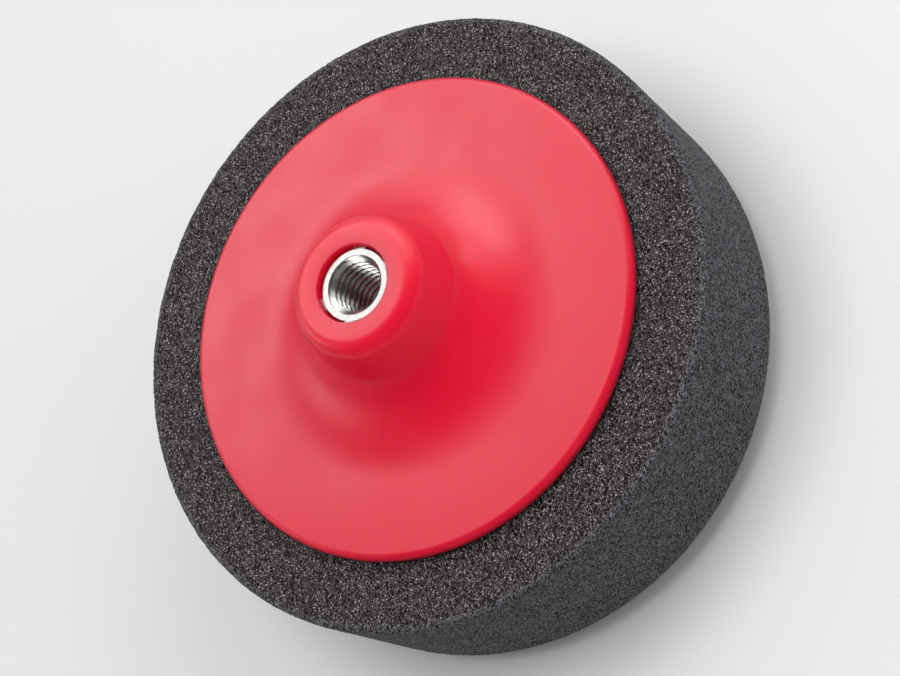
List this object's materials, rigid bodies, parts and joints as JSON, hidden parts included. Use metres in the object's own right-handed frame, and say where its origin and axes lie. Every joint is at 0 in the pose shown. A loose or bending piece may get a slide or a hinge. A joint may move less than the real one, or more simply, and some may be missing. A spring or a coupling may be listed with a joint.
{
  "type": "polishing pad",
  "caption": "Round foam polishing pad bonded to a flared plastic backing plate, with a threaded steel insert in its hub for a rotary polisher's spindle.",
  "frame": {"origin": "centre of the foam's flat working face, which the pad stands on", "axes": "+Z along the axis of rotation, from the working face towards the hub; X and Y lie in the working face and have no direction of their own"},
  "size_m": [0.15, 0.15, 0.0776],
  "materials": {
    "foam": "matte",
    "adhesive": "satin",
    "plate": "satin",
    "steel": "polished"
  },
  "bodies": {
    "root": {"foam_pad": "foam", "bond_film": "adhesive", "backing_plate": "plate", "threaded_insert": "steel"}
  },
  "joints": []
}
